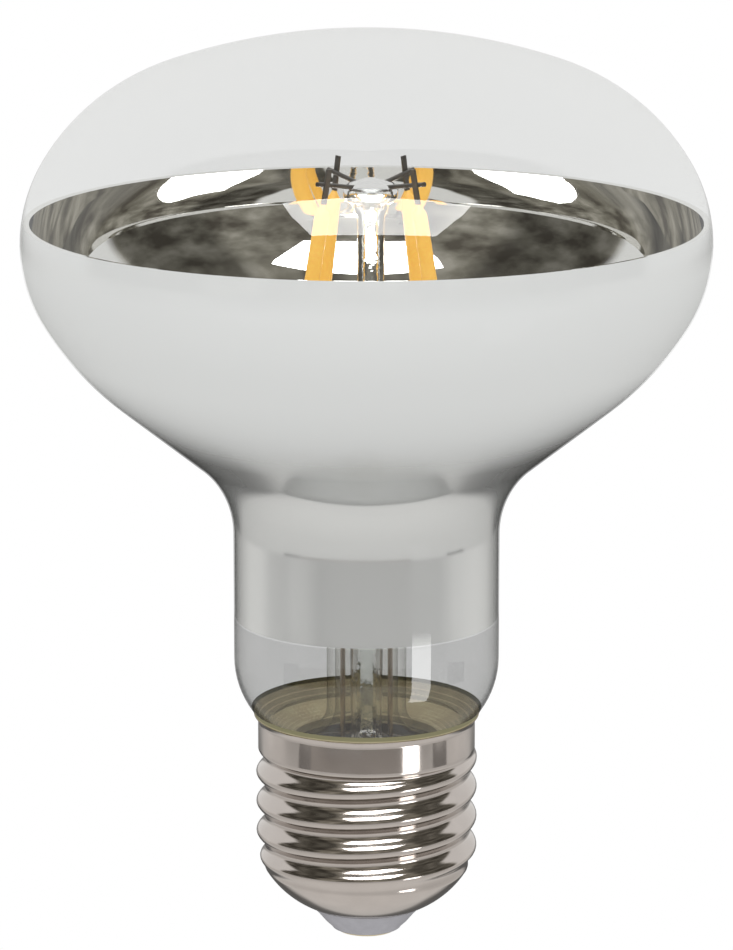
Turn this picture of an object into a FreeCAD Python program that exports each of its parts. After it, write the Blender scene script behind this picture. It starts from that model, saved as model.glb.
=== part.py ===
import FreeCAD
import Part
import Sketcher
import math
import os

document = FreeCAD.newDocument("reflector_bulb")
Vector = FreeCAD.Vector
UP = Vector(0, 0, 1)

# Driving dimensions in millimetres and degrees, heights from the face of the centre contact
DIMENSIONS = [
    ("equator_radius", 40.0),
    ("shoulder_radius", 18.185),
    ("shoulder_angle", 30.78),
    ("crown_edge_radius", 25.57),
    ("crown_edge_angle", 70.96),
    ("lower_shoulder_radius", 17.03),
    ("lower_shoulder_angle", 31.06),
    ("bowl_radius", 35.17),
    ("bowl_angle", 51.23),
    ("neck_fillet_radius", 11.155),
    ("neck_overhang", 3.066),
    ("neck_length", 14.99),
    ("heel_radius", 10.27),
    ("heel_angle", 53.0),
    ("heel_above_lip", 0.117),
    ("glass_wall", 0.8),
    ("mirror_thickness", 0.1),
    ("mirror_top_angle", 8.79),
    ("mirror_neck_length", 9.94),
    ("flare_turn_angle", 72.0),
    ("flare_turn_rise", 2.9),
    ("flare_tube_wall", 1.0),
    ("flare_tube_length", 12.5),
    ("flare_roof_rise", 1.6),
    ("press_width", 10.0),
    ("press_depth", 3.4),
    ("press_length", 5.5),
    ("exhaust_radius", 1.9),
    ("exhaust_wall", 0.7),
    ("exhaust_tip_above_board", 2.18),
    ("exhaust_tip_rise", 1.4),
    ("stem_offset", 0.5),
    ("rod_radius", 1.57),
    ("rod_beyond_filament", 1.6),
    ("button_radius", 3.55),
    ("button_edge_radius", 1.1),
    ("button_under_rise", 2.3),
    ("button_top_rise", 1.7),
    ("wire_radius", 0.27),
    ("wire_root_reach", 1.2),
    ("wire_root_rise", 0.6),
    ("wire_tip_rise", 1.8),
    ("front_wire_side", 6.15),
    ("front_wire_depth", 5.5),
    ("back_wire_side", 4.95),
    ("back_wire_depth", 5.5),
    ("weld_share", 0.84),
    ("filament_radius", 0.875),
    ("filament_length", 38.0),
    ("filament_drop", 2.2),
    ("foot_depth", 5.73),
    ("front_foot_gap", 0.81),
    ("back_foot_gap", 3.25),
    ("tab_width", 0.7),
    ("tab_thickness", 0.25),
    ("tab_above_weld", 1.9),
    ("tab_below_filament", 2.6),
    ("bar_drop", 1.5),
    ("bar_overhang", 0.5),
    ("lead_radius", 0.3),
    ("lead_exhaust_gap", 0.25),
    ("lead_bore_gap", 0.6),
    ("sleeve_wall", 0.35),
    ("sleeve_length", 7.0),
    ("sleeve_above_board", 1.5),
    ("shell_wall", 0.3),
    ("valley_radius", 12.1),
    ("thread_depth", 1.0),
    ("thread_pitch", 3.629),
    ("thread_above_closing", 1.4),
    ("thread_clocking_angle", 233.6),
    ("thread_travel", 12.2),
    ("crest_half_width", 0.3),
    ("ridge_half_width", 1.35),
    ("knuckle_rise_share", 0.6),
    ("knuckle_width_share", 0.5),
    ("thread_end_angle", 10.0),
    ("closing_height", 7.9),
    ("closing_radius", 11.3),
    ("closing_start_angle", 31.06),
    ("closing_end_angle", 66.09),
    ("skirt_swell", 0.75),
    ("skirt_above_thread", 1.2),
    ("skirt_step", 0.8),
    ("skirt_length", 3.55),
    ("lip_rise", 0.6),
    ("lip_flare", 0.5),
    ("contact_inset", 0.57),
    ("contact_thickness", 0.3),
    ("contact_stem_radius", 1.1),
    ("contact_bore_radius", 0.5),
    ("contact_flange", 0.6),
    ("solder_height", 0.6),
    ("insulator_face_radius", 4.17),
    ("insulator_flange_radius", 8.4),
    ("insulator_rim", 1.3),
    ("cement_width", 3.95),
    ("cement_above_step", 0.3),
    ("bead_on_lip", 0.2),
    ("bead_reach", 0.55),
    ("board_gap", 2.0),
    ("board_thickness", 1.0),
    ("capacitor_radius", 3.15),
    ("capacitor_length", 7.3),
    ("capacitor_side", -5.6),
    ("capacitor_depth", -3.0),
    ("capacitor_crimp", 0.25),
    ("capacitor_groove", 0.5),
    ("capacitor_above_insulator", 0.9),
    ("inductor_radius", 2.6),
    ("inductor_length", 5.5),
    ("inductor_side", 5.4),
    ("inductor_depth", -3.4),
    ("inductor_waist", 0.6),
    ("inductor_flange", 0.8),
    ("fuse_radius", 1.2),
    ("fuse_inset", 1.6),
    ("fuse_wire_above_contact", 0.9),
    ("fuse_above_wire", 1.2),
    ("fuse_length", 4.2),
    ("fuse_lead_radius", 0.3),
    ("wire_bend_radius", 0.8),
    ("fuse_sleeve_wall", 0.25),
    ("pin_below_board", 0.5),
    ("rectifier_length", 4.7),
    ("rectifier_width", 3.9),
    ("rectifier_height", 1.4),
    ("rectifier_fuse_gap", 0.15),
    ("chip_length", 4.9),
    ("chip_width", 3.6),
    ("chip_height", 1.4),
    ("chip_inset", 1.3),
    ("leg_width", 0.4),
    ("leg_length", 0.9),
    ("leg_thickness", 0.2),
    ("leg_pitch", 1.27),
    ("neutral_inset", 1.2),
    ("neutral_above_board", 0.2),
    ("resistor_length", 2.0),
    ("resistor_width", 1.25),
    ("resistor_height", 0.55),
    ("resistor_side", 6.4),
]

sheet = document.addObject("Spreadsheet::Sheet", "Sizes")
for row, (alias, number) in enumerate(DIMENSIONS, start=1):
    sheet.set("A%d" % row, alias)
    sheet.set("B%d" % row, repr(number))
    sheet.setAlias("B%d" % row, alias)
document.recompute()


class Term:
    """A size with the expression that gives it from the sheet."""

    def __init__(self, number, text):
        self.number = float(number)
        self.text = text

    def joined(self, other, number, sign, turned=False):
        left, right = self.text, as_term(other).text
        if turned:
            left, right = right, left
        return Term(number, "(%s %s %s)" % (left, sign, right))

    def __add__(self, other):
        return self.joined(other, self.number + as_term(other).number, "+")

    def __sub__(self, other):
        return self.joined(other, self.number - as_term(other).number, "-")

    def __mul__(self, other):
        return self.joined(other, self.number * as_term(other).number, "*")

    def __truediv__(self, other):
        return self.joined(other, self.number / as_term(other).number, "/")

    def __radd__(self, other):
        return self.joined(other, as_term(other).number + self.number, "+", True)

    def __rsub__(self, other):
        return self.joined(other, as_term(other).number - self.number, "-", True)

    def __rmul__(self, other):
        return self.joined(other, as_term(other).number * self.number, "*", True)

    def __rtruediv__(self, other):
        return self.joined(other, as_term(other).number / self.number, "/", True)


def as_term(value):
    return value if isinstance(value, Term) else Term(value, repr(float(value)))


def size(alias):
    return Term(sheet.get(alias), "Sizes." + alias)


def mm(alias):
    return float(sheet.get(alias))


def cosine(angle):
    return Term(math.cos(math.radians(angle.number)), "cos(%s * 1 deg)" % angle.text)


def sine(angle):
    return Term(math.sin(math.radians(angle.number)), "sin(%s * 1 deg)" % angle.text)


def root(value):
    return Term(math.sqrt(value.number), "sqrt(%s)" % value.text)


def plane_of(body, role):
    for feature in body.Origin.OriginFeatures:
        if feature.Role == role:
            return feature
    raise ValueError(role)


def bind(item, prop, value):
    item.setExpression(prop, as_term(value).text)


def place(item, x=0.0, y=0.0, z=0.0):
    for axis, value in (("x", x), ("y", y), ("z", z)):
        bind(item, "Placement.Base." + axis, value)


def outline_sketch(body, label, role, corners):
    """A closed outline of corners (across, up), each with centre and radius where an arc leaves it."""
    sketch = body.newObject("Sketcher::SketchObject", label)
    sketch.AttachmentSupport = [(plane_of(body, role), "")]
    sketch.MapMode = "FlatFace"
    edges = []
    ends = []
    for index, corner in enumerate(corners):
        after = corners[(index + 1) % len(corners)]
        start = Vector(as_term(corner[0]).number, as_term(corner[1]).number, 0)
        stop = Vector(as_term(after[0]).number, as_term(after[1]).number, 0)
        if len(corner) == 2:
            edges.append(Part.LineSegment(start, stop))
            ends.append((1, 2))
            continue
        centre = Vector(as_term(corner[2]).number, as_term(corner[3]).number, 0)
        radius = as_term(corner[4]).number
        first = math.atan2(start.y - centre.y, start.x - centre.x)
        last = math.atan2(stop.y - centre.y, stop.x - centre.x)
        forward = (last - first) % (2 * math.pi) < math.pi
        if not forward:
            first, last = last, first
        circle = Part.Circle(centre, UP, radius)
        edges.append(Part.ArcOfCircle(circle, first, last))
        ends.append((1, 2) if forward else (2, 1))
    sketch.addGeometry(edges, False)
    count = len(corners)
    for index, corner in enumerate(corners):
        before = (index - 1) % count
        sketch.addConstraint(Sketcher.Constraint("Coincident", before, ends[before][1], index, ends[index][0]))
        for kind, value, axis in (("DistanceX", corner[0], -2), ("DistanceY", corner[1], -1)):
            term = as_term(value)
            if abs(term.number) < 1e-9:
                sketch.addConstraint(Sketcher.Constraint("PointOnObject", index, ends[index][0], axis))
                continue
            made = sketch.addConstraint(Sketcher.Constraint(kind, -1, 1, index, ends[index][0], term.number))
            bind(sketch, "Constraints[%d]" % made, term)
        if len(corner) > 2:
            radius = as_term(corner[4])
            made = sketch.addConstraint(Sketcher.Constraint("Radius", index, radius.number))
            bind(sketch, "Constraints[%d]" % made, radius)
    return sketch


def turned(label, corners, x=0.0, y=0.0, z=0.0):
    """A body turned about its own upright axis from a half outline."""
    body = document.addObject("PartDesign::Body", label)
    sketch = outline_sketch(body, label + "_outline", "XZ_Plane", corners)
    spin = body.newObject("PartDesign::Revolution", label + "_turned")
    spin.Profile = sketch
    spin.ReferenceAxis = (plane_of(body, "Z_Axis"), [""])
    spin.Angle = 360
    place(body, x, y, z)
    return body


def block(label, length, width, height, x, y, z):
    """A box centred on x and y, standing on z."""
    item = document.addObject("Part::Box", label)
    bind(item, "Length", length)
    bind(item, "Width", width)
    bind(item, "Height", height)
    place(item, x - as_term(length) / 2, y - as_term(width) / 2, z)
    return item


def disc(label, radius, height, x, y, z):
    item = document.addObject("Part::Cylinder", label)
    bind(item, "Radius", radius)
    bind(item, "Height", height)
    place(item, x, y, z)
    return item


def joined(label, kind, items):
    item = document.addObject(kind, label)
    if kind == "Part::Cut":
        item.Base, item.Tool = items
    else:
        item.Shapes = items
    return item


def shaped(label, shape):
    item = document.addObject("Part::Feature", label)
    item.Shape = shape
    return item


def round_wire(radius, points, bend):
    """A wire of round section along points, with a round bend at each inner one."""
    corners = [Vector(*p) for p in points]
    edges = []
    start = corners[0]
    for index in range(1, len(corners) - 1):
        here = corners[index]
        back = (corners[index - 1] - here).normalize()
        ahead = (corners[index + 1] - here).normalize()
        half = back.getAngle(ahead) / 2
        reach = bend / math.tan(half)
        centre = here + (back + ahead).normalize() * (bend / math.sin(half))
        near = here + back * reach
        far = here + ahead * reach
        middle = centre + (here - centre).normalize() * bend
        edges.append(Part.makeLine(start, near))
        edges.append(Part.Arc(near, middle, far).toShape())
        start = far
    edges.append(Part.makeLine(start, corners[-1]))
    path = Part.Wire(edges)
    heading = (corners[1] - corners[0]).normalize()
    section = Part.Wire(Part.makeCircle(radius, corners[0], heading))
    return path.makePipeShell([section], True, True)


def rod_between(radius, start, stop):
    return Part.makeCylinder(radius, (stop - start).Length, start, stop - start)


def plate_along(width, thickness, start, stop, normal):
    """A flat strip from start to stop whose broad faces look along normal."""
    along = stop - start
    across = normal.cross(along).normalize() * (width / 2)
    out = Vector(normal).normalize() * (thickness / 2)
    base = [start + across + out, start - across + out, start - across - out, start + across - out]
    return Part.Face(Part.makePolygon(base + [base[0]])).extrude(along)


# Cap: screw shell with its thread, skirt and lip, and the curve that closes its lower end
shell_wall = size("shell_wall")
valley = size("valley_radius")
crest = valley + size("thread_depth")
skirt_r = valley + size("skirt_swell")
skirt_in = skirt_r - shell_wall
close_r = size("closing_radius")
start_a, end_a = size("closing_start_angle"), size("closing_end_angle")
close_x = valley - close_r * cosine(start_a)
close_z = size("closing_height") + close_r * sine(start_a)
close_in = close_r - shell_wall
shell_end_out = (close_x + close_r * cosine(end_a), close_z - close_r * sine(end_a))
shell_end_in = (close_x + close_in * cosine(end_a), close_z - close_in * sine(end_a))
close_start_in = (close_x + close_in * cosine(start_a), close_z - close_in * sine(start_a))
thread_z = size("closing_height") + size("thread_above_closing")
skirt_step = size("skirt_step")
skirt_z = thread_z + size("thread_travel") + size("skirt_above_thread")
lip_z, lip_r = skirt_z + size("skirt_length"), skirt_r + size("lip_flare")
lip_top = lip_z + size("lip_rise")

# Insulator, contact and driver board, stacked up from the contact's face
plate_t = size("contact_thickness")
flange_r = size("insulator_flange_radius")
flange_z = close_z - root(close_in * close_in - (flange_r - close_x) * (flange_r - close_x))
insulator_z = flange_z + size("insulator_rim")
contact_top = insulator_z + plate_t
board_z = insulator_z + size("capacitor_above_insulator") + size("capacitor_length")
board_top = board_z + size("board_thickness")
board_r = valley - shell_wall - size("board_gap")
pins_foot = board_z - size("pin_below_board")

# Glass envelope: centres and normals of its arcs, from the heel in the cap's lip up to the crown
eq_r = size("equator_radius")
r1, a1 = size("shoulder_radius"), size("shoulder_angle")
r2, a2 = size("crown_edge_radius"), size("crown_edge_angle")
r4, a4 = size("lower_shoulder_radius"), size("lower_shoulder_angle")
r5, a5 = size("bowl_radius"), size("bowl_angle")
r6, r7, a7 = size("neck_fillet_radius"), size("heel_radius"), size("heel_angle")
neck_r = skirt_in + size("neck_overhang")
heel_x = neck_r - r7
heel_z = lip_z + size("heel_above_lip") + root(r7 * r7 - (skirt_in - heel_x) * (skirt_in - heel_x))
fillet_x = neck_r + r6
fillet_z = heel_z + size("neck_length")
lower_x = eq_r - r4
bowl_x = lower_x + (r4 - r5) * cosine(a4)
cone_x = fillet_x - (r5 + r6) * cosine(a5)
cone_z = fillet_z + (r5 + r6) * sine(a5)
bowl_z = cone_z + (bowl_x - cone_x) * cosine(a5) / sine(a5)
eq_z = bowl_z + (r4 - r5) * sine(a4)
shoulder_x = eq_r - r1
edge_x = shoulder_x + (r1 - r2) * cosine(a1)
edge_z = eq_z + (r1 - r2) * sine(a1)
crown_r = r2 + edge_x / cosine(a2)
crown_z = edge_z + (r2 - crown_r) * sine(a2)


def envelope(inset):
    """Corners of the glass surface set in by inset, from the crown's top down to the heel."""
    return {
        "apex": (0.0, crown_z + crown_r - inset),
        "crown": (edge_x + (r2 - inset) * cosine(a2), edge_z + (r2 - inset) * sine(a2)),
        "edge": (shoulder_x + (r1 - inset) * cosine(a1), eq_z + (r1 - inset) * sine(a1)),
        "equator": (eq_r - inset, eq_z),
        "lower": (lower_x + (r4 - inset) * cosine(a4), eq_z - (r4 - inset) * sine(a4)),
        "bowl": (bowl_x + (r5 - inset) * cosine(a5), bowl_z - (r5 - inset) * sine(a5)),
        "cone": (cone_x + (r5 - inset) * cosine(a5), cone_z - (r5 - inset) * sine(a5)),
        "fillet": (neck_r - inset, fillet_z),
        "neck": (neck_r - inset, heel_z),
        "heel": (heel_x + (r7 - inset) * cosine(a7), heel_z - (r7 - inset) * sine(a7)),
    }


def arcs_down(points, inset):
    """The outline down the surface, each corner with the arc that leaves it."""
    return [
        points["apex"] + (0.0, crown_z, crown_r - inset),
        points["crown"] + (edge_x, edge_z, r2 - inset),
        points["edge"] + (shoulder_x, eq_z, r1 - inset),
        points["equator"] + (lower_x, eq_z, r4 - inset),
        points["lower"] + (bowl_x, bowl_z, r5 - inset),
        points["bowl"],
        points["cone"] + (fillet_x, fillet_z, r6 + inset),
        points["fillet"],
        points["neck"] + (heel_x, heel_z, r7 - inset),
        points["heel"],
    ]


def arcs_up(points, inset):
    """The same outline walked from the heel to the crown."""
    return [
        points["heel"] + (heel_x, heel_z, r7 - inset),
        points["neck"],
        points["fillet"] + (fillet_x, fillet_z, r6 + inset),
        points["cone"],
        points["bowl"] + (bowl_x, bowl_z, r5 - inset),
        points["lower"] + (lower_x, eq_z, r4 - inset),
        points["equator"] + (shoulder_x, eq_z, r1 - inset),
        points["edge"] + (edge_x, edge_z, r2 - inset),
        points["crown"] + (0.0, crown_z, crown_r - inset),
        points["apex"],
    ]


wall = size("glass_wall")
outside = envelope(0.0)
inside = envelope(wall)
glass_bulb = turned("glass_bulb", arcs_down(outside, 0.0) + arcs_up(inside, wall))

# Mirror layer on the inner face, from just above the widest ring to the neck
silver = wall + size("mirror_thickness")
back = envelope(silver)
mirror_angle = size("mirror_top_angle")
mirror_end = fillet_z - size("mirror_neck_length")
rim_out = (shoulder_x + (r1 - wall) * cosine(mirror_angle), eq_z + (r1 - wall) * sine(mirror_angle))
rim_in = (shoulder_x + (r1 - silver) * cosine(mirror_angle), eq_z + (r1 - silver) * sine(mirror_angle))
mirror_coating = turned("mirror_coating", [
    rim_out + (shoulder_x, eq_z, r1 - wall),
    inside["equator"] + (lower_x, eq_z, r4 - wall),
    inside["lower"] + (bowl_x, bowl_z, r5 - wall),
    inside["bowl"],
    inside["cone"] + (fillet_x, fillet_z, r6 + wall),
    inside["fillet"],
    (neck_r - wall, mirror_end),
    (neck_r - silver, mirror_end),
    back["fillet"] + (fillet_x, fillet_z, r6 + silver),
    back["cone"],
    back["bowl"] + (bowl_x, bowl_z, r5 - silver),
    back["lower"] + (lower_x, eq_z, r4 - silver),
    back["equator"] + (shoulder_x, eq_z, r1 - silver),
    rim_in,
])

# Glass stem: flare sealed to the heel, its tube and the flat press that holds the leads
turn_angle = size("flare_turn_angle")
lead_r, exhaust_r = size("lead_radius"), size("exhaust_radius")
sleeve_r = lead_r + size("sleeve_wall")
lead_x = exhaust_r + size("lead_exhaust_gap") + sleeve_r
bore_r = lead_x + lead_r + size("lead_bore_gap")
tube_r = bore_r + size("flare_tube_wall")
turn_up = (heel_x + (r7 - wall) * cosine(turn_angle), heel_z - (r7 - wall) * sine(turn_angle))
turn_down = (heel_x + r7 * cosine(turn_angle), heel_z - r7 * sine(turn_angle))
tube_foot = turn_up[1] + size("flare_turn_rise")
tube_top = tube_foot + size("flare_tube_length")
roof = tube_top + size("flare_roof_rise")
press_top = roof + size("press_length")


def turn_arc(start, radius):
    """Centre and radius of the arc from start that runs into the upright tube wall at tube_foot."""
    across = start[0] - radius
    rise = tube_foot - start[1]
    arc_r = (across * across + rise * rise) / (2 * across)
    return radius + arc_r, tube_foot, arc_r


flare = turned("stem_flare_turned", [
    inside["heel"] + (heel_x, heel_z, r7 - wall),
    turn_up + turn_arc(turn_up, tube_r),
    (tube_r, tube_foot),
    (tube_r, tube_top),
    (size("press_depth") / 2, roof + size("flare_tube_wall")),
    (0.0, roof + size("flare_tube_wall")),
    (0.0, roof),
    (exhaust_r, roof),
    (bore_r, tube_top),
    (bore_r, tube_foot) + turn_arc(turn_down, bore_r),
    turn_down + (heel_x, heel_z, r7),
    outside["heel"],
])
press_size = [size("press_width"), size("press_depth"), size("press_length")]
press = block("stem_press", *press_size, 0.0, 0.0, roof)
flare_and_press = joined("stem_flare_pressed", "Part::MultiFuse", [flare, press])


def pair_of_rods(label, radius, foot, length):
    left = disc(label + "_left", radius, length, 0.0 - lead_x, 0.0, foot)
    right = disc(label + "_right", radius, length, lead_x, 0.0, foot)
    return joined(label, "Part::MultiFuse", [left, right])


dumet_seals = pair_of_rods("dumet_seals", lead_r, tube_top, press_top - tube_top)
outer_leads = pair_of_rods("outer_leads", lead_r, pins_foot, tube_top - pins_foot)
stem_flare = joined("stem_flare", "Part::Cut", [flare_and_press, dumet_seals])

# Sleeves that keep the two outer leads apart inside the cap
sleeve_foot = board_top + size("sleeve_above_board")
sleeve_tubes = pair_of_rods("lead_sleeve_tubes", sleeve_r, sleeve_foot, size("sleeve_length"))
lead_sleeves = joined("lead_sleeves", "Part::Cut", [sleeve_tubes, outer_leads])

# Exhaust tube, sealed off at its lower tip
exhaust_wall = size("exhaust_wall")
exhaust_bore = exhaust_r - exhaust_wall
tip_z = board_top + size("exhaust_tip_above_board")
tip_rise = size("exhaust_tip_rise")
tip_r = (exhaust_r * exhaust_r + tip_rise * tip_rise) / (2 * tip_rise)
exhaust_tube = turned("exhaust_tube", [
    (0.0, tip_z, 0.0, tip_z + tip_r, tip_r),
    (exhaust_r, tip_z + tip_rise),
    (exhaust_r, roof),
    (exhaust_bore, roof),
    (exhaust_bore, tip_z + tip_rise + exhaust_wall),
    (0.0, tip_z + exhaust_wall),
])

# Stem rod with the button that holds the four support wires
rod_x = size("stem_offset")
rod_r, button_r = size("rod_radius"), size("button_radius")
edge_r = size("button_edge_radius")
rod_top = press_top + size("filament_length") + size("rod_beyond_filament")
button_z = rod_top + size("button_under_rise")
rod_blank = turned("stem_rod_blank", [
    (0.0, press_top),
    (rod_r, press_top),
    (rod_r, rod_top),
    (button_r - edge_r, button_z - edge_r, button_r - edge_r, button_z, edge_r),
    (button_r, button_z, button_r - edge_r, button_z, edge_r),
    (button_r - edge_r, button_z + edge_r),
    (0.0, button_z + size("button_top_rise")),
], rod_x)

# Filament hangers: a wire out of the button, a tab welded to its side, the filament below
stem_axis = Vector(mm("stem_offset"), 0, 0)
wire_r = mm("wire_radius")
tab_t = mm("tab_thickness")
button_height = button_z.number
hanging_length = mm("filament_drop") + mm("filament_length")
SETTLING_STEPS = 8
PLACES = [
    ("front_left", -1, -1),
    ("front_right", 1, -1),
    ("back_left", -1, 1),
    ("back_right", 1, 1),
]
wires = []
upper_tabs = []
lower_tabs = []
filaments = {}
feet = {}
for place_name, side, depth in PLACES:
    row = "front" if depth < 0 else "back"
    out_x = side * mm(row + "_wire_side")
    out_y = depth * mm(row + "_wire_depth")
    outward = Vector(out_x, out_y, 0).normalize()
    base = stem_axis + Vector(0, 0, button_height)
    wire_root = base + outward * mm("wire_root_reach") + UP * mm("wire_root_rise")
    wire_tip = base + Vector(out_x, out_y, mm("wire_tip_rise"))
    wires.append(rod_between(wire_r, wire_root, wire_tip))
    wire_way = (wire_tip - wire_root).normalize()
    weld = wire_root + (wire_tip - wire_root) * mm("weld_share")
    foot_reach = neck_r.number - silver.number - mm("filament_radius") - mm(row + "_foot_gap")
    foot_side = math.sqrt(foot_reach ** 2 - mm("foot_depth") ** 2) - mm("stem_offset")
    foot_x = mm("stem_offset") + side * foot_side
    foot_y = depth * mm("foot_depth")
    on_tab = weld
    for _ in range(SETTLING_STEPS):
        span_x, span_y = foot_x - on_tab.x, foot_y - on_tab.y
        fall = math.sqrt(hanging_length ** 2 - span_x ** 2 - span_y ** 2)
        down = Vector(span_x, span_y, -fall).normalize()
        facing = down.cross(wire_way).normalize()
        if facing.x * side > 0:
            facing = facing * -1
        on_tab = weld + facing * (wire_r + tab_t / 2)
    top = on_tab + down * mm("filament_drop")
    bottom = top + down * mm("filament_length")
    filaments[place_name] = rod_between(mm("filament_radius"), top, bottom)
    upper = plate_along(mm("tab_width"), tab_t, on_tab - down * mm("tab_above_weld"), top, facing)
    upper_tabs.append(upper)
    feet[place_name] = (bottom, down)
for place_name, _, _ in PLACES:
    shaped("filament_" + place_name, filaments[place_name])
top_wires = shaped("top_wires", Part.makeCompound(wires))
shaped("upper_tabs", Part.makeCompound(upper_tabs))
stem_rod = joined("stem_rod", "Part::Cut", [rod_blank, top_wires])

# Lower end of each pair: two tabs welded to one bar, and the lead that feeds it
bars = []
inner_leads = []
for side_name, side in (("left", -1), ("right", 1)):
    front, front_down = feet["front_" + side_name]
    rear, rear_down = feet["back_" + side_name]
    front_weld = front + front_down * mm("bar_drop")
    rear_weld = rear + rear_down * mm("bar_drop")
    reach = mm("lead_radius") + tab_t / 2
    front_on, rear_on = Vector(front_weld), Vector(rear_weld)
    for _ in range(SETTLING_STEPS):
        along = (rear_on - front_on).normalize()
        front_face = front_down.cross(along).normalize() * -side
        rear_face = rear_down.cross(along).normalize() * -side
        front_on = front_weld - front_face * reach
        rear_on = rear_weld - rear_face * reach
    spare = along * mm("bar_overhang")
    bar = rod_between(mm("lead_radius"), front_on - spare, rear_on + spare)
    bars.append(bar)
    for foot, way, face in ((front, front_down, front_face), (rear, rear_down, rear_face)):
        tab_end = foot + way * mm("tab_below_filament")
        lower_tabs.append(plate_along(mm("tab_width"), tab_t, foot, tab_end, face))
    share = -front_on.y / (rear_on.y - front_on.y)
    meet = front_on + (rear_on - front_on) * share
    start_x = side * lead_x.number
    lead = round_wire(mm("lead_radius"), [
        (start_x, 0, press_top.number),
        (start_x, 0, meet.z),
        (meet.x, 0, meet.z),
    ], mm("wire_bend_radius"))
    inner_leads.append(lead.cut(bar))
shaped("lower_tabs", Part.makeCompound(lower_tabs))
shaped("lower_bars", Part.makeCompound(bars))
shaped("inner_leads", Part.makeCompound(inner_leads))

# Screw shell: thin turned sheet with a rolled knuckle thread
screw_shell = turned("screw_shell", [
    shell_end_out + (close_x, close_z, close_r),
    (valley, size("closing_height")),
    (valley, skirt_z - skirt_step),
    (skirt_r, skirt_z),
    (skirt_r, lip_z),
    (lip_r, lip_top),
    (lip_r - shell_wall, lip_top),
    (skirt_in, lip_z),
    (skirt_in, skirt_z),
    (valley - shell_wall, skirt_z - skirt_step),
    (valley - shell_wall, size("closing_height") + 2 * shell_wall),
    close_start_in + (close_x, close_z, close_in),
    shell_end_in,
])


flank, tip = size("ridge_half_width"), size("crest_half_width")
mid_r = valley + size("knuckle_rise_share") * (crest - valley)
mid_w = tip + size("knuckle_width_share") * (flank - tip)


def threaded(kind, label, section, margin):
    """A section of (radius, height from the crest) run up the thread, margin degrees short at each end."""
    foot = thread_z + size("thread_pitch") * margin / 360
    corners = [(across, foot + up) for across, up in section]
    sketch = outline_sketch(screw_shell, label + "_section", "XZ_Plane", corners)
    sketch.AttachmentOffset = FreeCAD.Placement(Vector(0, 0, 0), FreeCAD.Rotation(Vector(0, 1, 0), 1))
    bind(sketch, "AttachmentOffset.Rotation.Angle", margin)
    run = screw_shell.newObject(kind, label)
    run.Profile = sketch
    run.ReferenceAxis = (sketch, ["V_Axis"])
    run.Mode = "pitch-height-angle"
    bind(run, "Pitch", size("thread_pitch"))
    bind(run, "Height", size("thread_travel") - 2 * size("thread_pitch") * margin / 360)
    return run


root_r = valley - shell_wall / 2
ridge = threaded("PartDesign::AdditiveHelix", "thread_ridge", [
    (root_r, 0.0 - flank),
    (valley, 0.0 - flank),
    (mid_r, 0.0 - mid_w),
    (crest, 0.0 - tip),
    (crest, tip),
    (mid_r, mid_w),
    (valley, flank),
    (root_r, flank),
], as_term(0.0))
groove = threaded("PartDesign::SubtractiveHelix", "thread_groove", [
    (valley - 2 * shell_wall, shell_wall - flank),
    (crest - shell_wall, 0.0 - tip),
    (crest - shell_wall, tip),
    (valley - 2 * shell_wall, flank - shell_wall),
], size("thread_end_angle"))
screw_shell.Placement = FreeCAD.Placement(Vector(0, 0, 0), FreeCAD.Rotation(UP, 1))
bind(screw_shell, "Placement.Rotation.Angle", size("thread_clocking_angle"))

# Cement ring between the skirt and the heel of the glass, squeezed out in a bead over the lip
cement_r, cement_z = skirt_in - size("cement_width"), skirt_z + size("cement_above_step")
lip_in = lip_r - shell_wall
bead_r = lip_in + size("bead_reach")


def heel_height(radius):
    return heel_z - root(r7 * r7 - (radius - heel_x) * (radius - heel_x))


cap_cement = turned("cap_cement", [
    (cement_r, cement_z),
    (skirt_in, cement_z),
    (skirt_in, lip_z),
    (lip_in, lip_top),
    (lip_in + size("bead_on_lip"), lip_top),
    (bead_r, heel_height(bead_r), heel_x, heel_z, r7),
    (cement_r, heel_height(cement_r)),
])

# Insulator and centre contact
stem_r, bore = size("contact_stem_radius"), size("contact_bore_radius")
insulator = turned("insulator", [
    (stem_r, plate_t),
    (size("insulator_face_radius"), plate_t),
    shell_end_out,
    shell_end_in + (close_x, close_z, close_in),
    (flange_r, flange_z),
    (flange_r, insulator_z),
    (stem_r, insulator_z),
])
contact_r = size("insulator_face_radius") - size("contact_inset")
centre_contact = turned("centre_contact", [
    (0.0, 0.0),
    (contact_r, 0.0),
    (contact_r, plate_t),
    (stem_r, plate_t),
    (stem_r, insulator_z),
    (stem_r + size("contact_flange"), insulator_z),
    (stem_r + size("contact_flange"), contact_top),
    (bore, contact_top),
    (bore, plate_t),
    (0.0, plate_t),
])
solder_top = plate_t + size("solder_height")
contact_solder = disc("contact_solder", bore, size("solder_height"), 0.0, 0.0, plate_t)

# Driver board and its parts
fuse_y = board_r - size("fuse_inset")
fuse_wire_z = contact_top + size("fuse_wire_above_contact")
fuse_foot = fuse_wire_z + size("fuse_above_wire")
fuse_wire = round_wire(mm("fuse_lead_radius"), [
    (0, fuse_y.number, board_top.number + mm("pin_below_board")),
    (0, fuse_y.number, fuse_wire_z.number),
    (0, 0, fuse_wire_z.number),
    (0, 0, solder_top.number),
], mm("wire_bend_radius"))
fuse_base = Vector(0, fuse_y.number, fuse_foot.number)
fuse_body = Part.makeCylinder(mm("fuse_radius"), mm("fuse_length"), fuse_base)
fuse_resistor = shaped("fuse_resistor", fuse_body.fuse(fuse_wire))
jacket_r = size("fuse_radius") + size("fuse_sleeve_wall")
fuse_jacket = disc("fuse_jacket", jacket_r, size("fuse_length"), 0.0, fuse_y, fuse_foot)
fuse_core = disc("fuse_core", size("fuse_radius"), size("fuse_length"), 0.0, fuse_y, fuse_foot)
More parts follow.
